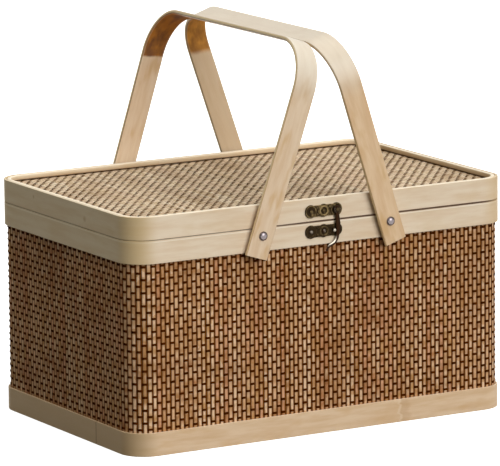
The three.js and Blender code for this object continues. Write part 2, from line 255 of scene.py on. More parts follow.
# Bamboo lath. The layer "grain" gives how far along, across and deep in the straight lath a point is
def lathFinish(name, look):
    lath = Finish(name, Specular_IOR_Level=look.get("shine", 0.12))
    grain = lath.layer("grain")
    along, across, depth = lath.split(grain)
    x, y = lath.split(lath.place())[:2]
    thickness = look["thickness"]
    moved = lath.scaled(grain, (1, 1, 1), (look.get("shift", 0), 0, 0))
    broad = lath.noise(moved, (0.02, 0.16, 0.16))
    patch = lath.noise(moved, (0.035, 0.11, 0.05), 2.0, move=(70, 9, 0))
    fibre = lath.noise(moved, (0.04, 2.6, 2.6), 4.0, 0.65)
    fine = lath.noise(moved, (0.15, 8.0, 8.0), 2.0)
    lath.colour = lath.mix(lath.step(broad, 0.3, 0.75), look["pale"], look["tan"])
    lath.over(lath.step(patch, 0.5, 0.75) * look.get("blush", 0.3), look["gold"])
    lath.over(lath.step(fibre, 0.55, 0.8) * 0.35, look["streak"])
    lath.over(lath.step(fine, 0.6, 0.75) * 0.25, look["streak"])
    # the sawn edges are paler: partly the cane's own paler flesh, partly painted light on those edges
    sawn = lath.step(depth, 0.2, 0.6) * (1 - lath.step(depth, thickness - 0.6, thickness - 0.2))
    lath.over(sawn * 0.85, look["edge"])
    if "arris" in look:  # painted shade: a dark line along the inner corner of the lath, a brown one along the outer
        lath.over(lath.near(depth, thickness - 0.45, 0.15, 0.25) * 0.75, look["arris"])
        lath.over(lath.near(depth, 0.35, 0.1, 0.2) * 0.6, (168, 120, 62))
    if "glue" in look:  # painted shade, darker towards where the ring meets the mat, and a dark line where they meet, partly glue and partly painted shadow
        low = look["glue"]
        lath.over((1 - lath.step(across, low + 0.5, low + 4.4)) * 0.5, (150, 112, 62))
        lath.over((1 - lath.step(across, low + 0.7, low + 1.6)) * 0.9, (84, 52, 20))
    height = fibre * 0.7 + fine * 0.3
    for ringFrom in look.get("nodes", []):  # a pale wavy line beside a darker patch
        wave = lath.noise(grain, (0, 0.3, 0.3), 1.0, move=(ringFrom, 0, 0)) * growth["wave"]
        ring = lath.near(along + wave, ringFrom + growth["ringAt"], 0.4, 1.4)
        halo = lath.near(along + wave, ringFrom + growth["haloAt"], 1.5, 5.0)
        lath.over(halo * 0.28, look["streak"])
        lath.over(ring * 0.2, look["edge"])
        height = height + ring * 0.5
    for knotAlong, knotAcross, size in look.get("knots", []):
        ends = {0: lath.join(along, across, 0.0), 1: (knotAlong, knotAcross, 0.0)}
        away = lath.add("ShaderNodeVectorMath", ends, "Value", operation="DISTANCE")
        lath.over((1 - lath.step(away, size * 0.3, size * 1.5)) * 0.6, look["streak"])
    if "seam" in look:  # painted shade where the lid meets the box, stronger on the right half, towards the latch
        rightward = lath.step(x, -0.1, 0.0)
        seamShade = lath.near(across, shell["seamLevel"], rightward * 0.3 + look["seam"], 0.4)
        lath.over(seamShade * (rightward * 0.5 + 0.38), (84, 46, 14))
        lip = lath.near(across, shell["seamLevel"] - 1.5, 0.2, 0.4)  # the box's edge catches the light
        lath.over(lip * 0.5, look["edge"])
        bent = lath.step(abs(x), 0.14, 0.158) * lath.step(abs(y), 0.083, 0.101)  # toasted for bending
        lath.over(bent * 0.7, look["gold"])
    if "leftShade" in look:  # painted shade: the left side of the lath is darker and browner
        shadeTone, share = look["leftShade"]
        lath.over((1 - lath.step(x, -0.161, -0.138)) * share, shadeTone)
    if "turn" in look:  # the cut where the lath's ends meet
        cut = 1 - lath.step(along, 0.25, 0.6) * (1 - lath.step(along, look["turn"] - 0.6,
                                                               look["turn"] - 0.25))
        lath.over(cut * 0.45, (92, 66, 40))
        height = height - cut * 0.5
    gloss = fibre * 0.16 + look["gloss"]
    if "scorch" in look:
        gloss = gloss + scorchBends(lath, grain, along, across, depth, look["scorch"]) * 0.4
    return lath.done(height, 0.2, 0.25, Roughness=gloss)


# Slats of the mats. The layer "tone" differs from slat to slat
def slatFinish(name, tones, edge, flank, sides):
    slat = Finish(name, Specular_IOR_Level=0.08)
    grain, tone, place = slat.layer("grain"), slat.layer("tone", "Fac"), slat.place()
    shift = slat.join(tone * 40.0, tone * 300.0, 0.0)
    moved = slat.add("ShaderNodeVectorMath", {0: grain, 1: shift}, operation="ADD")
    patch = slat.noise(moved, (0.05, 0.06, 0.05), 2.0)
    cell = slat.noise(moved, (0.3, 0.22, 0.3), 1.0, move=(5, 0, 0))
    fibre = slat.noise(moved, (3.2, 0.12, 3.2), 3.0, 0.6)
    stops = [((i + 0.5) / len(tones), colour) for i, colour in enumerate(tones)]
    drift = (tone + (patch - 0.5) * 0.9 + 1.0).sum("FRACT")
    slat.colour = slat.add("ShaderNodeValToRGB", {0: drift}, stops=stops)
    slat.over(slat.step(slat.noise(place, 22.0, 2.0), 0.45, 0.75) * 0.3, edge)
    slat.over(slat.step(cell, 0.45, 0.75) * 0.35, edge)
    slat.over(slat.step(fibre, 0.5, 0.8) * 0.4, edge)
    darkened = slat.step(abs(slat.split(grain)[0]), *sides[:2])  # painted shade on the slats' flanks, in the gaps; less on the left wall
    darkened = darkened * (slat.step(slat.split(place)[0], -0.162, -0.156) * 0.5 + 0.5)
    slat.over(darkened * sides[2], flank)
    return slat.done(fibre, 0.3, 0.2, Roughness=0.45 + fibre * 0.25)


def threadFinish(name, colour, light, worn=None):  # the last argument is a colour, and the level above which it shows: a painted sheen on the threads' tops
    thread = Finish(name, Roughness=0.9, Specular_IOR_Level=0.0)
    place = thread.place()
    patch = thread.noise(place, 260.0, 2.0)
    strand = thread.noise(place, (600.0, 600.0, 3200.0), 2.0)
    thread.colour = thread.mix(thread.step(patch * 0.5 + strand * 0.5, 0.4, 0.65), colour, light)
    if worn:
        tone, level = worn
        rise = thread.step(thread.split(place)[2], (level - 0.1) * mm, (level + 0.2) * mm)
        thread.over(rise * (patch * 0.4 + 0.55), tone)
    return thread.done(strand, 0.5, 0.15)


# Metal. Its brightness layer is 1 where the metal is bright and 0 in its hollows: rubbed by handling, and
# on the hook's curve, the stud and the nail tops partly a painted highlight
def metalFinish(name, dark, bright, rough):
    metalwork = Finish(name, Metallic=1.0)
    place = metalwork.place()
    cloud = metalwork.noise(place, 420.0, 4.0, 0.65)
    grit = metalwork.noise(place, 2600.0)
    rubbedAndSheen = metalwork.step(cloud * 0.6 + metalwork.layer("worn", "Fac") * 0.6, 0.38, 0.85)
    metalwork.colour = metalwork.mix(rubbedAndSheen, dark, bright)
    gloss = rough[1] - rubbedAndSheen * (rough[1] - rough[0]) + (grit - 0.5) * 0.1
    return metalwork.done(grit, 0.15, 0.06, Roughness=gloss)


def boardFinish(name, pale, tan, width):  # strips of that width glued side by side
    board = Finish(name)
    x, y = board.split(board.place())[:2]
    across = y * (1 / (width * mm))
    strip = across.sum("FLOOR")
    grain = board.noise(board.join(x * 14.0 + strip * 7.3, y * 420.0, strip * 3.1), 1.0, 4.0, 0.6)
    mood = board.noise(board.join(x * 2.0, strip * 5.7, strip), 1.0, 1.0)
    board.colour = board.mix(board.step(mood, 0.35, 0.65), pale, tan)
    board.over(board.step(grain, 0.5, 0.75) * 0.45, (150, 115, 72))
    seam = 1 - board.step(across.sum("PINGPONG", 0.5), 0.0, 0.02)
    board.over(seam * 0.5, (110, 80, 48))
    return board.done(grain - seam, 0.25, 0.2, Roughness=0.5 + grain * 0.2)


handle = {  # as in the CAD source
    "width": 18.8, "thickness": 3.0, "pivotX": 55.6, "pivotZ": 157.9, "legInside": 110.9,
    "height": 145.0, "bend": 32.5, "spread": 0.024, "tail": 17.2, "meetGap": 0.5,
    "edge": 1.1, "edgeSteps": 3, "endEdge": 0.4, "bendSteps": 18,
    "burntPast": 3.8, "burntBefore": 6.0,  # how far the scorch goes down the leg and along the run
}


def measureHandle(spec):  # where its bends are, and how long its legs, its bends and its run are
    slope, middle = atan(spec["spread"]), spec["bend"] + spec["thickness"] / 2
    bendZ = spec["height"] - spec["bend"]
    bendY = spec["legInside"] - (spec["bend"] - bendZ * sin(slope)) / cos(slope)
    leg = (bendZ - middle * sin(slope) + spec["tail"]) / cos(slope)
    bend = (pi / 2 + slope) * middle
    top, half = spec["height"] + spec["thickness"], spec["width"] / 2
    lean = asin((spec["pivotX"] - spec["meetGap"] / 2) / hypot(top, half)) - atan2(half, top)
    return {"slope": slope, "bendMiddle": middle, "bendZ": bendZ, "bendY": bendY, "top": top,
            "legLength": leg, "bendLength": bend, "runLength": 2 * bendY, "lean": lean,
            "length": 2 * (leg + bend + bendY)}


handle.update(measureHandle(handle))


def scorchBends(lath, grain, along, across, depth, burn):  # burnt by the bending iron, inside; also a painted sheen on the outer face and painted shade on the inner faces
    fromMiddle = abs(along - handle["length"] / 2)
    low = handle["runLength"] / 2 + handle["bendLength"] + handle["burntPast"]
    high = handle["runLength"] / 2 - handle["burntBefore"]
    outer = 1 - lath.step(depth, 0.2, 0.6)
    # a painted pale sheen on the outer face of the run and bends, for the white surroundings seen at a low
    # angle
    lath.over(outer * (1 - lath.step(fromMiddle, low - 26.0, low + 10.0)) * 0.6, (222, 219, 208))
    # painted shade on the inner faces
    lath.over(lath.step(depth, 2.2, 2.8) * burn["dull"], (182, 164, 138))
    blot = lath.noise(grain, (0.06, 0.14, 0.1), move=(3, 3, 0))
    edge = fromMiddle + (blot - 0.5) * 2.0 - across * burn["tilt"]
    darkened = lath.step(edge, high - 6.0, high + 14.0)
    darkened = darkened * (1 - lath.step(edge, low - burn["soft"], low + burn["soft"]))
    darkened = darkened * (1 - lath.step(abs(across), 7.6, 9.3) * 0.55)
    darkened = darkened * lath.step(depth, handle["thickness"] - 1.3, handle["thickness"] - 0.2)
    brown = lath.mix(lath.step(blot, 0.3, 0.65), burn["dark"], burn["light"])
    brown = lath.mix(lath.near(edge, low - 4.0, 1.0, 4.0) * 0.5, brown, burn["dark"])
    lath.over(darkened * 0.94, brown)
    return darkened


bandLook = {"thickness": 2.0, "pale": (236, 218, 194), "tan": (225, 200, 170), "gold": (216, 186, 142),
            "streak": (188, 152, 114), "edge": (255, 246, 230), "gloss": 0.42, "seam": 0.22,
            "leftShade": ((190, 168, 110), 0.3)}
handleLook = {"thickness": 3.0, "pale": (232, 208, 180), "tan": (220, 190, 156),
              "gold": (208, 168, 116), "streak": (182, 142, 98), "edge": (238, 214, 166),
              "gloss": 0.26, "blush": 0.75, "shine": 0.3, "arris": (84, 62, 28)}
innerLook = {"thickness": 3.5, "pale": (224, 202, 164), "tan": (208, 180, 138), "gold": (204, 170, 120),
             "streak": (164, 126, 84), "edge": (255, 242, 220), "gloss": 0.45}
lathLooks = {
    "lidBand": {**bandLook, "knots": [(alongLath(laths["lidBand"], -165, -37.4), 170.0, 2.2),
                                      (alongLath(laths["lidBand"], -165, 44.0), 174.5, 1.4)]},
    "rimBand": {**bandLook, "shift": 331.0},
    "baseBand": {"thickness": 1.6, "pale": (228, 200, 168), "tan": (214, 180, 142),
                 "gold": (208, 168, 120), "streak": (182, 140, 98), "edge": (250, 234, 210),
                 "gloss": 0.42, "blush": 0.5, "leftShade": ((190, 162, 124), 0.85),
                 "nodes": [alongLath(laths["baseBand"], 66.0, -108.0),
                           alongLath(laths["baseBand"], 60.0, 108.0)],
                 "turn": turnLength(insetOf("base_outer_hoop") + 0.8)},
    "innerBand": innerLook,
    "upperRing": {**innerLook, "pale": (232, 214, 186), "tan": (218, 194, 160),
                  "glue": nodeBox("lid_weave")[1].z},
    "handleLeft": {**handleLook, "scorch": {"dark": (112, 60, 0), "light": (182, 112, 6),
                                            "tilt": -0.2, "soft": 1.2, "dull": 0.0}},
    "handleRight": {**handleLook, "shift": 517.0, "pale": (230, 200, 164), "tan": (216, 180, 140),
                    "scorch": {"dark": (138, 86, 14), "light": (194, 132, 42), "tilt": 0.25,
                               "soft": 2.6, "dull": 0.6}},
}
finishes = {name: lathFinish(name + "Bamboo", look) for name, look in lathLooks.items()}
finishes.update({
    "slat": slatFinish("toastedSlats", [(212, 164, 118), (228, 184, 144), (190, 138, 88),
                                        (228, 188, 148), (186, 128, 82), (220, 166, 128),
                                        (194, 144, 90), (236, 198, 160)],
                       (114, 62, 18), (82, 42, 12), (0.8, 1.35, 0.92)),
    # the lid's slats, paler than the wall's: partly their own colour, partly painted top light and sheen
    "lidSlat": slatFinish("paleSlats", [(226, 202, 172), (230, 208, 180), (212, 186, 152),
                                        (236, 214, 188), (208, 180, 148), (228, 202, 176),
                                        (216, 190, 154), (240, 222, 196)],
                          (150, 116, 78), (120, 84, 46), (1.4, 1.8, 0.5)),
    "thread": threadFinish("sewingThread", (60, 24, 0), (92, 42, 8)),
    # darker than the wall's thread as painted shade, with a painted sheen on its tops
    "lidThread": threadFinish("lidSewingThread", (28, 10, 0), (48, 20, 0),
                              ((134, 92, 46), nodeCentre("lid_weave").z + 0.83)),
    # a dark sheet behind the mats' slats, standing in for the shade seen through the gaps
    "core": threadFinish("gapShadeBacking", (104, 58, 18), (130, 78, 30)),
    "bronze": metalFinish("antiqueBronze", (40, 30, 18), (132, 112, 76), (0.3, 0.5)),
    # the brighter bronze of the hook, the stud and the lower nails: rubbed wear, with painted highlights
    "hookBronze": metalFinish("rubbedBronzeWithSheen", (40, 24, 13), (164, 156, 142), (0.26, 0.48)),
    "steel": metalFinish("nickelSteel", (74, 56, 44), (128, 120, 122), (0.24, 0.42)),
    "board": boardFinish("stripBoard", (222, 200, 160), (204, 176, 132), 19.0),
})
print("finishes made:", len(finishes))


def vertsOf(made):
    return [g for g in made["geom"] if isinstance(g, bmesh.types.BMVert)]


def facesOf(made, key="geom"):
    return [g for g in made[key] if isinstance(g, bmesh.types.BMFace)]


def region(faces):  # faces with their edges and corners, as an operator takes them
    return list({*faces, *(e for f in faces for e in f.edges), *(v for f in faces for v in f.verts)})


def bevel(bm, geom, size, steps, kind):
    bmesh.ops.bevel(bm, geom=geom, offset=size, offset_type="OFFSET", segments=steps, profile=0.5,
                    affect=kind, clamp_overlap=kind == "EDGES", material=-1)


def roundEdges(bm, size, steps=2, edges=None):  # every sharp edge, if none are given
    edges = edges or [e for e in bm.edges if e.is_manifold and e.calc_face_angle() > radians(60)]
    bevel(bm, edges, size, steps, "EDGES")


def stretch(bm, size):
    bmesh.ops.scale(bm, vec=size, verts=bm.verts[:])


def roundedRectangle(bm, width, height, radius, steps):
    made = bmesh.ops.create_grid(bm, x_segments=1, y_segments=1, size=0.5)
    stretch(bm, (width, height, 1))
    bevel(bm, made["verts"], radius, steps, "VERTICES")
    return bm.faces[:]


def moveAll(bm, matrix):
    bmesh.ops.transform(bm, matrix=matrix, verts=bm.verts[:])


def faceOut(bm):
    bmesh.ops.recalc_face_normals(bm, faces=bm.faces[:])


def pushFaces(bm, faces, way):  # draws the faces out, and gives those at the new end
    made = bmesh.ops.extrude_face_region(bm, geom=region(faces))
    bmesh.ops.translate(bm, vec=way, verts=vertsOf(made))
    return facesOf(made)


def raiseFaces(bm, low, high):  # a flat outline made a solid from one level to another
    made = bmesh.ops.extrude_face_region(bm, geom=bm.faces[:])
    bmesh.ops.translate(bm, vec=(0, 0, high - low), verts=vertsOf(made))
    bmesh.ops.translate(bm, vec=(0, 0, low), verts=bm.verts[:])
    faceOut(bm)


def toMesh(bm):
    mesh = bpy.data.meshes.new("shape")
    bm.to_mesh(mesh)
    bm.free()
    return mesh


def addObject(name, data):
    thing = bpy.data.objects.new(name, data)
    bpy.context.scene.collection.objects.link(thing)
    return thing


def stamp(bm, shape, matrix):  # a copy of a mesh put in place
    start = len(bm.verts)
    bm.from_mesh(shape)
    bm.verts.ensure_lookup_table()
    fresh = bm.verts[start:]
    bmesh.ops.transform(bm, matrix=matrix, verts=fresh)
    return fresh


def pieceName(node):
    first, *words = node.split("_")
    return first + "".join(word.title() for word in words)


def finishPiece(bm, name, body, finish, *replaced, crease=38, weighted=True):
    for face in bm.faces:
        face.smooth = True
    for edge in bm.edges:
        edge.smooth = edge.is_manifold and edge.calc_face_angle() < radians(crease)
    stretch(bm, (mm, mm, mm))
    mesh = toMesh(bm)
    mesh.name = name
    mesh.materials.append(finishes[finish])
    piece = addObject(name, mesh)
    if weighted:
        normals = piece.modifiers.new("weightedNormals", "WEIGHTED_NORMAL")
        normals.keep_sharp = True
    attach(piece, body)
    if replaced:
        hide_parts(*replaced)


def layGrain(bm, rule):  # where each corner of each face is in the straight lath
    layer = bm.loops.layers.float_vector.new("grain")
    for face in bm.faces:
        for loop in face.loops:
            loop[layer] = Vector(rule(face, loop.vert.co))


def ringShape(low, high, inset, thickness):
    bm = bmesh.new()
    face = roundedRectangle(bm, high.x - low.x, high.y - low.y, shell["corner"] - inset,
                            shell["cornerSteps"])
    bmesh.ops.inset_region(bm, faces=face, thickness=thickness, depth=0, use_even_offset=True,
                           use_boundary=True)
    middle = max(bm.faces, key=lambda f: f.calc_area())
    bmesh.ops.delete(bm, geom=[middle], context="FACES_ONLY")
    return bm


def bendLath(spec):
    low, high = nodeBox(spec["node"])
    inset = insetOf(spec["node"])
    bm = ringShape(low, high, inset, spec["thickness"])
    joint = placeRound(spec["joint"] * turnLength(inset), inset)
    bmesh.ops.bisect_plane(bm, geom=bm.faces[:] + bm.edges[:] + bm.verts[:], dist=tiny,
                           plane_co=joint.translation, plane_no=joint.to_3x3() @ Vector((1, 0, 0)))
    foot, top = spec["closer"]
    raiseFaces(bm, low.z + foot, high.z + top)
    roundEdges(bm, spec["edge"], 3)
    turn = turnLength(inset + spec["thickness"] / 2)

    def grainAt(face, here):  # counted from the face's middle, as the count starts again at the joint
        centre = face.calc_center_median()
        start = alongLath(spec, centre.x, centre.y)
        ahead = (alongLath(spec, here.x, here.y) - start + turn / 2) % turn - turn / 2
        return start + ahead, here.z, depthIn(here.x, here.y) - inset

    layGrain(bm, grainAt)
    finishPiece(bm, spec["name"], spec["body"], spec["finish"], spec["node"])


for spec in laths.values():
    bendLath(spec)
print("laths bent:", len(laths))


mat = {  # one slat, one stitch, and how they repeat on the wall
    "thickness": 1.4, "slatWidth": 3.0, "slatThickness": 1.25, "slatEdge": 0.6, "slatEdgeSteps": 3,
    "pitch": 3.8, "slatAt": -34.9, "widthSpread": 0.1, "slip": 0.08, "seed": 7,
    "rowPitch": 4.92, "rowAt": 138.2, "rowWander": 0.28, "waves": 0.11, "rows": range(-4, 60),
    "stitchHeight": 2.0, "stitchThickness": 0.62, "stitchProud": 0.16, "stitchSides": 6,
    "stitchReach": 0.5, "stitchFlat": 0.8, "stitchCrease": 70,
    "coreThickness": 0.3, "coreInset": 1.0,
}
lidMat = {**mat, "slatWidth": 3.6, "pitch": 3.87, "seed": 11, "rowPitch": 4.83, "rowAt": 1.2,
          "rowWander": 0.6, "rows": range(-30, 31), "past": 0.5,
          "stitchHeight": 2.7, "stitchThickness": 0.6, "stitchProud": 0.1, "stitchReach": 0.48,
          "stitchFlat": 0.3, "coreInset": 0.5}


def slatShape(width, length):
    bm = bmesh.new()
    bmesh.ops.create_cube(bm, size=1)
    stretch(bm, (width, mat["slatThickness"], length))
    upright = [e for e in bm.edges if abs(e.verts[0].co.z - e.verts[1].co.z) > 0.5 * length]
    roundEdges(bm, mat["slatEdge"], mat["slatEdgeSteps"], upright)
    return toMesh(bm)


# A flat thread that comes out of one gap and goes back in at the next, on the face towards side * Y
def stitchShape(pitch, spec, side):
    bm = bmesh.new()
    bmesh.ops.create_circle(bm, cap_ends=True, segments=spec["stitchSides"], radius=0.5)
    stretch(bm, (spec["stitchHeight"], spec["stitchThickness"], 1))
    proud = spec["slatThickness"] / 2 + spec["stitchProud"]
    reach = pitch * spec["stitchReach"]
    flat = reach * spec["stitchFlat"]
    stations = [(-reach, 0.0), (-flat, proud), (flat, proud), (reach, 0.0)]
    bmesh.ops.translate(bm, vec=(0, stations[0][1], stations[0][0]), verts=bm.verts[:])
    end = bm.faces[:]
    for (x0, y0), (x1, y1) in zip(stations, stations[1:]):
        end = pushFaces(bm, end, (0, y1 - y0, x1 - x0))
    moveAll(bm, Matrix(((0, 0, 1, 0), (0, side, 0, 0), (1, 0, 0, 0), (0, 0, 0, 1))))
    faceOut(bm)
    return toMesh(bm)


def stitchColumn(pitch, spec, rows, side):
    one = stitchShape(pitch, spec, side)
    bm = bmesh.new()
    for row in rows:
        stamp(bm, one, Matrix.Translation((0, 0, row)))
    return toMesh(bm)


def vertLayer(layers, name):
    return layers.get(name) or layers.new(name)


def stampSlat(slats, shape, place, dice):
    grainLayer = vertLayer(slats.verts.layers.float_vector, "grain")
    toneLayer = vertLayer(slats.verts.layers.float, "tone")
    wide = 1 + dice.uniform(-1, 1) * mat["widthSpread"]
    slip = dice.uniform(-1, 1) * mat["slip"]
    tone = dice.random()
    fresh = stamp(slats, shape, Matrix.Scale(wide, 4, (1, 0, 0)))
    for v in fresh:
        v[grainLayer] = Vector((v.co.x / wide, v.co.z, v.co.y))
        v[toneLayer] = tone
    bmesh.ops.transform(slats, matrix=place @ Matrix.Translation((slip, 0, 0)), verts=fresh)


def wander(bm, axis, spec):  # sewing rows that are not quite straight
    for v in bm.verts:
        v.co[axis] += spec["rowWander"] * noise.noise(v.co * spec["waves"])


def weaveWall():
    low, high = nodeBox("wall_weave")
    middle = insetOf("wall_weave") + mat["thickness"] / 2
    turn = turnLength(middle)
    count = 2 * round(turn / mat["pitch"] / 2)
    pitch = turn / count
    first = alongOutline(mat["slatAt"], -shell["depth"] / 2, middle)
    places = [placeRound(first + i * pitch, middle) for i in range(count)]
    foot, top = nodeBox("base_outer_hoop")[1].z, nodeBox("rim_outer_hoop")[0].z
    rows = [(k % 2, mat["rowAt"] - k * mat["rowPitch"]) for k in mat["rows"]]
    rows = [(parity, z) for parity, z in rows if foot < z < top]
    dice = random.Random(mat["seed"])
    slats = bmesh.new()
    shape = slatShape(mat["slatWidth"], high.z - low.z)
    lift = Matrix.Translation((0, 0, (low.z + high.z) / 2))
    for place in places:
        stampSlat(slats, shape, place @ lift, dice)
    finishPiece(slats, "wallSlats", "basket", "slat", "wall_weave", weighted=False)
    for name, side in (("wallThreadOutside", -1), ("wallThreadInside", 1)):
        bm = bmesh.new()
        columns = [stitchColumn(pitch, mat, [z for parity, z in rows if (parity + (side > 0)) % 2 == odd],
                                side) for odd in (0, 1)]
        for i, place in enumerate(places):
            stamp(bm, columns[i % 2], place)
        wander(bm, 2, mat)
        finishPiece(bm, name, "basket", "thread", weighted=False, crease=mat["stitchCrease"])
    # a dark sheet behind the slats, painted shade for the gaps between them
    half = mat["coreThickness"] / 2
    reach = Vector((shell["length"] / 2, shell["depth"] / 2, 0)) - Vector((1, 1, 0)) * (middle - half)
    core = ringShape(-reach, reach, middle - half, mat["coreThickness"])
    raiseFaces(core, low.z + mat["coreInset"], high.z - mat["coreInset"])
    finishPiece(core, "wallGapShade", "basket", "core")
    print("wall woven:", count, "slats,", len(rows), "rows")


def weaveLid():
    low, high = nodeBox("lid_weave")
    middle = (low.z + high.z) / 2
    radius = shell["corner"] - insetOf("lid_weave")
    cover = nodeBox("lid_upper_ring")[1] - Vector((1, 1, 0)) * laths["lidUpperRing"]["thickness"]
    count = int((2 * high.x - lidMat["slatWidth"]) / lidMat["pitch"]) // 2
    dice = random.Random(lidMat["seed"])
    slats = bmesh.new()
    threads = bmesh.new()
    lay = Matrix.Rotation(-pi / 2, 4, "X")  # a slat's height goes along +Y, and its outer face up
    for i in range(-count, count + 1):
        x = i * lidMat["pitch"]
        past = max(0.0, abs(x) + lidMat["slatWidth"] / 2 - (high.x - radius))
        length = 2 * (high.y - radius + sqrt(max(0.0, radius ** 2 - past ** 2)))
        place = Matrix.Translation((x, 0, middle)) @ lay
        stampSlat(slats, slatShape(lidMat["slatWidth"], length), place, dice)
        if abs(x) > cover.x + 1:  # under the ring, where no stitch shows
            continue
        rows = [k * lidMat["rowPitch"] + lidMat["rowAt"] for k in lidMat["rows"] if (k + i) % 2 == 0]
        rows = [row for row in rows if abs(row) < min(cover.y, length / 2) + lidMat["past"]]
        stamp(threads, stitchColumn(lidMat["pitch"], lidMat, rows, -1), place)
    wander(threads, 1, lidMat)
    finishPiece(slats, "lidSlats", "lid", "lidSlat", "lid_weave", weighted=False)
    finishPiece(threads, "lidThread", "lid", "lidThread", weighted=False, crease=lidMat["stitchCrease"])
    # a dark sheet under the lid's slats, painted shade for the gaps between them
    core = bmesh.new()
    inset, half = lidMat["coreInset"], lidMat["coreThickness"] / 2
    roundedRectangle(core, 2 * high.x - 2 * inset, 2 * high.y - 2 * inset, radius - inset,
                     shell["cornerSteps"])
    raiseFaces(core, middle - half, middle + half)
    finishPiece(core, "lidGapShade", "lid", "core")
    print("lid woven:", 2 * count + 1, "slats")


weaveWall()
weaveLid()


def cutBoard(node, body, edge):
    low, high = nodeBox(node)
    bm = bmesh.new()
    roundedRectangle(bm, high.x - low.x, high.y - low.y, shell["corner"] - insetOf(node),
                     shell["cornerSteps"])
    raiseFaces(bm, low.z, high.z)
    roundEdges(bm, edge)
    finishPiece(bm, pieceName(node), body, "board", node)


cutBoard("base_board", "basket", 0.8)
cutBoard("lid_lining", "lid", 0.3)
print("boards cut")


def alongHandle(y, z):  # how far along the lath a point of its end view is, from the front foot
    middle, bendY, bendZ = handle["length"] / 2, handle["bendY"], handle["bendZ"]
    for side in (-1, 1):
        if y * side > bendY:
            angle = atan2(z - bendZ, y * side - bendY)
            if angle > -handle["slope"]:
                past = (pi / 2 - angle) * handle["bendMiddle"]
                return middle + side * (handle["runLength"] / 2 + past)
    if z > bendZ:
        return middle + y
    return middle + copysign(handle["runLength"] / 2 + handle["bendLength"] + (bendZ - z), y)


def depthInHandle(y, z):
    if z <= handle["bendZ"]:
        return handle["legInside"] + handle["thickness"] + z * handle["spread"] - abs(y)
    if abs(y) <= handle["bendY"]:
        return handle["top"] - z
    return handle["bend"] + handle["thickness"] - hypot(z - handle["bendZ"], abs(y) - handle["bendY"])


def bendHandle(node, sign):
    bm = bmesh.new()
    end = roundedRectangle(bm, handle["width"], handle["thickness"], handle["edge"], handle["edgeSteps"])
    slope, middle, bendY, bendZ = (handle[key] for key in ("slope", "bendMiddle", "bendY", "bendZ"))
    legWay = Vector((0, -sin(slope), cos(slope))) * handle["legLength"]
    legTop = Vector((0, -bendY - middle * cos(slope), bendZ - middle * sin(slope)))
    moveAll(bm, posed(legTop - legWay, slope, "X"))
    end = pushFaces(bm, end, legWay)
    for centre, way in ((-bendY, (0, handle["runLength"], 0)), (bendY, (0, legWay.y, -legWay.z))):
        made = bmesh.ops.spin(bm, geom=region(end), cent=(0, centre, bendZ), axis=(-1, 0, 0),
                              dvec=(0, 0, 0), angle=pi / 2 + slope, steps=handle["bendSteps"],
                              use_duplicate=False)
        end = pushFaces(bm, facesOf(made, "geom_last"), way)
    faceOut(bm)
    roundEdges(bm, handle["endEdge"])
    layGrain(bm, lambda face, here: (alongHandle(here.y, here.z), here.x, depthInHandle(here.y, here.z)))
    moveAll(bm, posed((sign * handle["pivotX"], 0, handle["pivotZ"]), -sign * handle["lean"], "Y"))
    finishPiece(bm, pieceName(node), node, pieceName(node), node)


bendHandle("handle_left", -1)
bendHandle("handle_right", 1)
print("handles bent")


def turned(profile, sides, closed=False):  # a profile of (radius, height) turned about Z
    bm = bmesh.new()
    corners = [bm.verts.new((radius, 0, height)) for radius, height in profile]
    loop = corners + corners[:1] if closed else corners
    edges = [bm.edges.new(pair) for pair in zip(loop, loop[1:])]
    bmesh.ops.spin(bm, geom=corners + edges, cent=(0, 0, 0), axis=(0, 0, 1), dvec=(0, 0, 0),
                   angle=2 * pi, steps=sides, use_merge=True, use_duplicate=False)
    bmesh.ops.remove_doubles(bm, verts=bm.verts[:], dist=tiny)
    faceOut(bm)
    return bm


def tube(hole, radius, low, high, sides, edge, steps=2):
    bm = turned([(hole, low), (radius, low), (radius, high), (hole, high)], sides, closed=True)
    roundEdges(bm, edge, steps)
    return bm


def dome(radius, foot, top, steps=6):  # from the pole down to the rim
    return [(radius * sin(a), foot + (top - foot) * cos(a))
            for a in (pi / 2 * i / steps for i in range(steps + 1))]


def setWearAndSheen(bm, rule):  # how bright the metal is, from the shape's own place: rubbed wear, and on the stud and nails partly a painted highlight
    layer = vertLayer(bm.verts.layers.float, "worn")
    for v in bm.verts:
        v[layer] = rule(v.co)


def lookOut(x, z, way=-1):  # turns a shape whose top is +Z to look along way * Y
    return posed((x, 0, z), -way * pi / 2, "X")


def fixPiece(bm, node, body, finish, rule):  # a turned piece, its bright metal given by that rule, set where its CAD node is
    setWearAndSheen(bm, rule)
    centre = nodeCentre(node)
    moveAll(bm, lookOut(centre.x, centre.z, copysign(1, centre.y)))
    finishPiece(bm, pieceName(node), body, finish, node)


rivet = {  # rimLine is measured from the head's radius and from its seat
    "headRadius": 3.5, "headHeight": 1.7, "domeRadius": 2.75, "rim": 0.5,
    "rimLine": [(-0.63, 0.3), (-0.35, 0.5), (-0.08, 0.36), (0.0, 0.1), (0.0, 0.0)],
    "shank": 1.5, "tailRadius": 2.6, "tailHeight": 1.2, "tailFlat": 0.8, "tailRound": 0.15,
    "hole": 1.8, "washerEdge": 0.2, "sides": 36,
}


def headRivet(node):
    inner, outer = nodeReach(node)
    seat, tail, radius = outer - rivet["headHeight"], inner + rivet["tailHeight"], rivet["tailRadius"]
    profile = dome(rivet["domeRadius"], seat + rivet["rim"], outer)
    profile += [(rivet["headRadius"] + r, seat + height) for r, height in rivet["rimLine"]]
    profile += [(rivet["shank"], seat), (rivet["shank"], tail), (radius, tail),
                (radius * rivet["tailFlat"], inner + rivet["tailRound"]), (0, inner)]
    fixPiece(turned(profile, rivet["sides"]), node, "basket", "steel",
             lambda co: 1.0 if co.z > seat + 0.55 else 0.45 if co.z > seat + 0.32 else 0.0)


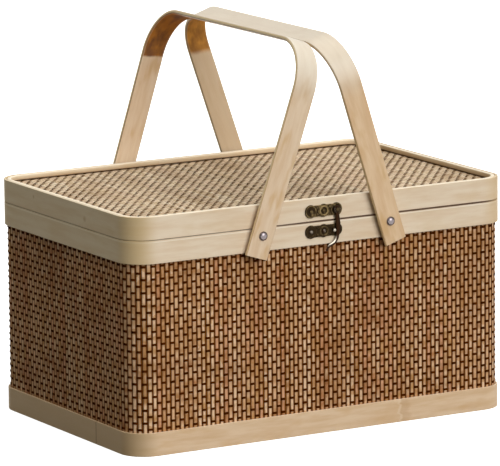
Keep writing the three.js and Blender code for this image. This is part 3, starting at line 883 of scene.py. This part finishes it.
def cutWasher(node):
    low, high = nodeBox(node)
    bm = tube(rivet["hole"], (high.x - low.x) / 2, *nodeReach(node), rivet["sides"], rivet["washerEdge"])
    fixPiece(bm, node, "basket", "steel", lambda co: 0.6)


for corner in ("front_left", "front_right", "rear_left", "rear_right"):
    headRivet(f"rivet_{corner}")
    cutWasher(f"spacer_{corner}")
    cutWasher(f"burr_{corner}")
print("rivets set")


latch = {  # the lines of the lobes are radii, and heights from the plate's face
    "lobeSpacing": 11.1, "back": 108.8, "face": 109.7, "sides": 32, "lap": 0.02,
    "rimLine": [(5.0, -0.35), (4.8, -0.1), (4.4, 0.0)],
    "panLine": [(3.9, -0.08), (3.6, -0.4), (0, -0.4)],
    "ringLine": [(4.05, -0.1), (3.95, 0.1), (3.7, 0.4), (3.3, 0.5), (2.9, 0.4), (2.65, 0.1),
                 (2.5, -0.3), (0, -0.35)],  # a raised ring round the middle nail
    "waist": 8.8, "neckCorner": 0.8, "neckDrop": 0.25, "neckEdge": 0.2, "neckRubbed": 4.0,
    "bossAt": 2.7, "bossRadius": 1.3, "bossFoot": -0.5, "bossTop": 0.25, "bossSides": 14,
    "hookFace": 111.3, "hookBack": 110.0, "hookWidth": 2.8, "hookSides": 14, "hookEdge": 0.35,
    "eyeRadius": 2.9, "eyeHole": 1.35,
    "hookLine": [(0, 0), (0.1, -5.4), (0.6, -10.5), (0.8, -14.6), (0.3, -18.6), (-0.6, -22.2),
                 (-3.4, -25.5), (-7.5, -27.5), (-9.7, -31.0)],
    # at which share of the hook's length, how far either way, and how much
    "swell": (0.28, 0.26, 0.4), "taper": (0.7, 0.3, 0.35), "rubbedAndSheen": (0.74, 0.2, 1.3), "tip": 0.55,
}


def lobeShape(line, rubbedAndSheen):
    back, face = latch["back"], latch["face"]
    profile = [(0, back), (latch["rimLine"][0][0], back)]
    profile += [(radius, face + height) for radius, height in latch["rimLine"] + line]
    bm = turned(profile, latch["sides"])
    setWearAndSheen(bm, lambda co: min(1.0, max(0.0, (co.z - face + 0.3) * 2.5)) * rubbedAndSheen)
    return toMesh(bm)


def pressPlate(node, body, rubbedAndSheen):
    centre, face, spacing = nodeCentre(node), latch["face"], latch["lobeSpacing"]
    bm = bmesh.new()
    setWearAndSheen(bm, lambda co: 0.0)
    for i, line in ((-1, "panLine"), (0, "ringLine"), (1, "panLine")):
        stamp(bm, lobeShape(latch[line], rubbedAndSheen), lookOut(centre.x + i * spacing, centre.z))
    for x in (centre.x - spacing / 2, centre.x + spacing / 2):
        neck = bmesh.new()
        roundedRectangle(neck, spacing, latch["waist"], latch["neckCorner"], 3)
        raiseFaces(neck, latch["back"] + latch["lap"], face - latch["neckDrop"])
        roundEdges(neck, latch["neckEdge"])
        setWearAndSheen(neck, lambda co: rubbedAndSheen if abs(co.y) > latch["neckRubbed"] else 0.0)
        stamp(bm, toMesh(neck), lookOut(x, centre.z))
        for z in (-latch["bossAt"], latch["bossAt"]):  # above and below the middle of each neck
            foot = face + latch["bossFoot"]
            boss = turned(dome(latch["bossRadius"], foot, face + latch["bossTop"]) + [(0, foot)],
                          latch["bossSides"])
            setWearAndSheen(boss, lambda co: rubbedAndSheen * 0.6 if co.z > face else 0.1)
            stamp(bm, toMesh(boss), lookOut(x, centre.z + z))
    finishPiece(bm, pieceName(node), body, "bronze", node)


def smoothLine(points, steps=5):  # a curve through the points, and its end
    ends = [points[0] * 2 - points[1], *points, points[-1] * 2 - points[-2]]
    line = []
    for a, b, c, d in zip(ends, ends[1:], ends[2:], ends[3:]):
        for t in (i / steps for i in range(steps)):
            line.append((b * 2 + (c - a) * t + (a * 2 - b * 5 + c * 4 - d) * t ** 2
                         + (b * 3 - a - c * 3 + d) * t ** 3) / 2)
    return [*line, points[-1]]


def hookSize(share):  # how wide the hook is at a share of its length, against hookWidth
    at, reach, swell = latch["swell"]
    start, run, taper = latch["taper"]
    size = 1 + swell * max(0.0, 1 - ((share - at) / reach) ** 2) - taper * max(0.0, (share - start) / run)
    return size * latch["tip"] if share in (0, 1) else size


def forgeHook(node):
    pivot = nodeCentre("latch_pivot")
    depth = (latch["hookFace"] + latch["hookBack"]) / 2
    thickness = latch["hookFace"] - latch["hookBack"]
    line = smoothLine([Vector((pivot.x + x, -depth, pivot.z + z)) for x, z in latch["hookLine"]])
    bm = bmesh.new()
    layer = vertLayer(bm.verts.layers.float, "worn")
    bmesh.ops.create_circle(bm, cap_ends=True, segments=latch["hookSides"], radius=0.5)
    end, last = bm.faces[:], Matrix.Identity(4)
    at, reach, much = latch["rubbedAndSheen"]
    for i, point in enumerate(line):
        way = (line[min(i + 1, len(line) - 1)] - line[max(i - 1, 0)]).normalized()
        share = i / (len(line) - 1)
        size = hookSize(share)
        across = Vector((way.z, 0, -way.x)) * latch["hookWidth"] * size
        outwards = Vector((0, -1, 0)) * thickness * (0.4 + 0.6 * size)
        here = Matrix((across, outwards, way)).transposed().to_4x4()
        here.translation = point
        if i:
            made = bmesh.ops.extrude_face_region(bm, geom=region(end))
            fresh, end = vertsOf(made), facesOf(made)
        else:
            fresh = bm.verts[:]
        bmesh.ops.transform(bm, matrix=here @ last.inverted(), verts=fresh)
        rubbedAndSheen = much * max(0.0, 1 - abs(share - at) / reach)
        for v in fresh:  # a painted highlight on the outside of its curve, towards the tail
            outside = max(0.0, (v.co - point).dot(across.normalized()) / across.length + 0.1) * 2
            v[layer] = 0.05 + outside * rubbedAndSheen
        last = here
    faceOut(bm)
    eye = tube(latch["eyeHole"], latch["eyeRadius"], latch["hookBack"], latch["hookFace"],
               latch["sides"], latch["hookEdge"], 3)
    setWearAndSheen(eye, lambda co: 0.2 if co.z > depth else 0.0)
    stamp(bm, toMesh(eye), lookOut(pivot.x, pivot.z))
    finishPiece(bm, pieceName(node), node, "hookBronze", node)


nail = {"radius": 1.7, "sides": 20, "domeSteps": 5, "rim": 0.1, "shank": 0.8, "worn": 0.4}
pivotNail = {**nail, "radius": 2.1, "sides": 28}


def driveNail(node, body, seat, finish="bronze", spec=nail):
    inner, outer = nodeReach(node)
    under = seat - spec["rim"]
    profile = dome(spec["radius"], seat, outer, spec["domeSteps"])
    profile += [(spec["radius"], under), (spec["shank"], under), (spec["shank"], inner), (0, inner)]
    fixPiece(turned(profile, spec["sides"]), node, body, finish,
             lambda co: min(1.0, max(0.0, (co.z - seat) / (outer - seat))) * spec["worn"])


pressPlate("latch_upper_plate", "lid", 0.6)
pressPlate("latch_lower_plate", "basket", 0.32)
forgeHook("latch_hook")
driveNail("latch_pivot", "lid", latch["hookFace"] + 0.3, spec=pivotNail)
# the lower nails take the brighter bronze: their tops are partly a painted highlight
for level, body, metal in (("upper", "lid", "bronze"), ("lower", "basket", "hookBronze")):
    for i in (1, 2):
        driveNail(f"latch_nail_{level}_{i}", body, latch["face"] - latch["neckDrop"], metal)

stud = {"radius": 1.4, "dome": 1.0, "neckLine": [(1.4, -1.25), (1.1, -1.5), (0.95, -2.0)],
        "collar": 1.05, "collarDepth": 0.5, "shank": 0.9, "rubbedFrom": 1.3}


def turnStud(node):
    inner, outer = nodeReach(node)
    face, under = latch["face"], latch["face"] - stud["collarDepth"]
    profile = dome(stud["radius"], outer - stud["dome"], outer)
    profile += [(radius, outer + height) for radius, height in stud["neckLine"]]
    profile += [(stud["collar"], face), (stud["collar"], under), (stud["shank"], under),
                (stud["shank"], inner), (0, inner)]
    # the stud's top is bright: wear with a painted highlight
    fixPiece(turned(profile, latch["sides"]), node, "basket", "hookBronze",
             lambda co: 0.6 if co.z > outer - stud["rubbedFrom"] else 0.1)


turnStud("latch_stud")
print("latch made")


hinge = {"width": 24.0, "leafHeight": 13.0, "back": 108.8, "face": 109.7, "axisY": 110.7,
         "knuckle": 1.9, "bore": 1.02, "gap": 0.3, "edge": 0.22, "corner": 1.2, "sides": 28,
         "lap": 0.02, "lapEdge": 0.1, "nailProud": 0.05, "pinSides": 20,
         "pinLine": [(0, 0), (0.55, 0.08), (0.8, 0.3), (0.9, 0.6)]}  # radii, and how far in from its end


def block(bm, spans, edge, corner=0.0):  # spans are where it starts and ends along x, y and z
    low, high = (Vector(ends) for ends in zip(*spans))
    size = high - low
    bit = bmesh.new()
    bmesh.ops.create_cube(bit, size=1)
    stretch(bit, size)
    bmesh.ops.translate(bit, vec=(low + high) / 2, verts=bit.verts[:])
    if corner:
        across = [e for e in bit.edges if abs(e.verts[0].co.y - e.verts[1].co.y) > 0.5 * size.y]
        roundEdges(bit, corner, 4, across)
    roundEdges(bit, edge)
    stamp(bm, toMesh(bit), Matrix.Identity(4))


def foldLeaf(node, body, centre, way, thirds):
    level, third, lap = shell["seamLevel"], hinge["width"] / 3, hinge["lap"]
    back, face, foot = hinge["back"], hinge["face"], hinge["knuckle"] + hinge["gap"]
    bm = bmesh.new()
    setWearAndSheen(bm, lambda co: 0.0)
    heights = sorted((level + way * foot, level + way * hinge["leafHeight"]))
    block(bm, ((centre - hinge["width"] / 2, centre + hinge["width"] / 2), (back, face), heights),
          hinge["edge"], hinge["corner"])
    half = (third - hinge["gap"]) / 2
    heights = sorted((level, level + way * (foot + 1)))
    for x in (centre + index * third for index in thirds):
        block(bm, ((x - half, x + half), (back + lap, face - lap), heights), hinge["lapEdge"])
        roll = tube(hinge["bore"], hinge["knuckle"], -half, half, hinge["sides"], hinge["edge"])
        setWearAndSheen(roll, lambda co: 0.6 if co.x > 1.2 else 0.3)
        stamp(bm, toMesh(roll), posed((x, hinge["axisY"], level), pi / 2, "Y"))
    finishPiece(bm, pieceName(node), body, "bronze", node)


def turnPin(node):
    low, high = nodeBox(node)
    half = (high.x - low.x) / 2
    profile = [(radius, half - inwards) for radius, inwards in hinge["pinLine"]]
    profile += [(radius, -height) for radius, height in reversed(profile)]
    bm = turned(profile, hinge["pinSides"])
    setWearAndSheen(bm, lambda co: 0.5)
    moveAll(bm, posed((low + high) / 2, pi / 2, "Y"))
    finishPiece(bm, pieceName(node), "basket", "bronze", node)


for end in ("left", "right"):
    centre = nodeCentre(f"hinge_pin_{end}").x
    foldLeaf(f"hinge_lid_leaf_{end}", "lid", centre, 1, [0])
    foldLeaf(f"hinge_box_leaf_{end}", "basket", centre, -1, [-1, 1])
    turnPin(f"hinge_pin_{end}")
for leaf, body in (("lid", "lid"), ("box", "basket")):
    for i in (1, 2, 3, 4):
        driveNail(f"hinge_nail_{leaf}_{i}", body, hinge["face"] + hinge["nailProud"])
print("hinges made")


studio = {
    "world": 0.148, "fill": [1.0, 0.95, 0.64, 1.0], "floorSize": 40.0, "floorTone": 0.1,
    "floorSides": 0.9, "floorGlow": 0.7,
    "keyFrom": (0.17, -0.87, 0.45), "keyStrength": 2.31, "keyAngle": 50.0,
    "topFrom": (0.05, 0.15, 0.97), "topStrength": 1.62, "topAngle": 70.0,
}


def makeWorld():
    world = bpy.data.worlds.new("studioWorld")
    bpy.context.scene.world = world
    world.use_nodes = True
    sky = NodeMaker(world.node_tree)
    plain = sky.add("ShaderNodeBackground", {0: studio["fill"], 1: studio["world"]})
    bright = sky.add("ShaderNodeBackground", {0: white(), 1: 1.0})
    chosen = sky.add("ShaderNodeMixShader", {0: sky.seen(), 1: plain, 2: bright})
    sky.add("ShaderNodeOutputWorld", {0: chosen})


def makeFloor():
    bm = bmesh.new()
    bmesh.ops.create_grid(bm, x_segments=1, y_segments=1, size=studio["floorSize"])
    floor = addObject("floor", toMesh(bm))
    ground = Finish("paleFloor", Roughness=1.0, Specular_IOR_Level=0.0)
    seen = ground.seen()
    ground.set(Base_Color=ground.mix(seen, white(studio["floorTone"]), white(studio["floorSides"])))
    glow = ground.add("ShaderNodeEmission", {0: white(), 1: studio["floorGlow"]})
    both = ground.add("ShaderNodeAddShader", {0: ground.surface, 1: glow})
    chosen = ground.add("ShaderNodeMixShader", {0: seen, 1: ground.surface, 2: both})
    ground.feed(ground.output.inputs[0], chosen)
    floor.data.materials.append(ground.material)


def addSun(name):
    lamp = bpy.data.lights.new(name + "Light", "SUN")
    lamp.energy = studio[name + "Strength"]
    lamp.angle = radians(studio[name + "Angle"])
    holder = addObject(name + "Light", lamp)
    holder.rotation_mode = "QUATERNION"
    holder.rotation_quaternion = Vector(studio[name + "From"]).to_track_quat("Z", "Y")


camera = {"azimuth": -30.049, "elevation": 10.707, "distance": 3844.1, "roll": -0.584,
          "target": (-0.98, 0.07, 136.47), "lens": 360.0, "sees": 100}


def makeCamera():
    turn, rise, roll = (radians(camera[k]) for k in ("azimuth", "elevation", "roll"))
    aim = posed(Vector(camera["target"]) * mm, turn, "Z") @ Matrix.Rotation(pi / 2 - rise, 4, "X")
    data = bpy.data.cameras.new("camera")
    data.lens = camera["lens"]
    data.clip_end = camera["sees"]
    holder = addObject("camera", data)
    holder.matrix_world = aim @ posed((0, 0, camera["distance"] * mm), roll, "Z")
    bpy.context.scene.camera = holder


makeWorld()
makeFloor()
addSun("key")
addSun("top")
makeCamera()
bpy.context.scene.view_settings.view_transform = "Standard"
print("studio set")
